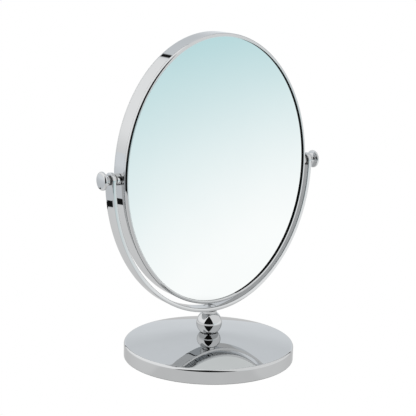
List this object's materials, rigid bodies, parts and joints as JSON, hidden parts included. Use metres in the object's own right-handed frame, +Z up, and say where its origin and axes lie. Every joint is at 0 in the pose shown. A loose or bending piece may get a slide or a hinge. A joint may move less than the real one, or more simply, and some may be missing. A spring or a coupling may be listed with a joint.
{
  "type": "countertop mirror",
  "caption": "Two-sided oval mirror, plain and magnifying, that tilts in a half-oval yoke held by two knobs, on a ball stem and a round weighted base.",
  "frame": {"origin": "centre of the base's underside, on the surface it stands on", "axes": "+Z up; the plain glass faces -Y at rest; the tilt axis runs along X"},
  "size_m": [0.1934, 0.13, 0.2485],
  "materials": {
    "chrome_plate": "polished chrome plate on steel and brass",
    "mirror_glass": "silvered float glass with a faint green tint",
    "zinc_plate": "bright zinc plate on steel fasteners",
    "iron": "rough cast iron",
    "nylon": "grey nylon",
    "foam": "closed-cell foam sheet",
    "hardboard": "tempered hardboard",
    "pad_rubber": "black ribbed rubber pad"
  },
  "bodies": {
    "stand": {"base_shell": "chrome_plate", "base_weight": "iron", "base_plate": "zinc_plate", "base_pad": "pad_rubber", "base_bolt": "zinc_plate", "base_washer": "zinc_plate", "stem_ball": "chrome_plate", "yoke": "chrome_plate", "yoke_screw": "chrome_plate", "yoke_bush_left": "nylon", "yoke_bush_right": "nylon"},
    "head": {"rim_band": "chrome_plate", "front_bezel": "chrome_plate", "rear_bezel": "chrome_plate", "front_glass": "mirror_glass", "rear_glass": "mirror_glass", "front_cushion": "foam", "rear_cushion": "foam", "backing_board": "hardboard", "pivot_boss_left": "chrome_plate", "pivot_boss_right": "chrome_plate", "boss_nut_left": "zinc_plate", "boss_nut_right": "zinc_plate", "spring_washer_left": "zinc_plate", "spring_washer_right": "zinc_plate"},
    "left_knob": {"knob_left": "chrome_plate", "knob_stud_left": "zinc_plate"},
    "right_knob": {"knob_right": "chrome_plate", "knob_stud_right": "zinc_plate"}
  },
  "joints": [
    {"name": "head_tilt", "type": "hinge", "parent": "stand", "child": "head", "pos_m": [0, 0, 0.1465], "axis": [1, 0, 0], "continuous": true},
    {"name": "left_knob_turn", "type": "hinge", "parent": "head", "child": "left_knob", "pos_m": [-0.0943, 0, 0.1465], "axis": [-1, 0, 0], "range_deg": [0, 270]},
    {"name": "right_knob_turn", "type": "hinge", "parent": "head", "child": "right_knob", "pos_m": [0.0943, 0, 0.1465], "axis": [1, 0, 0], "range_deg": [0, 270]}
  ]
}
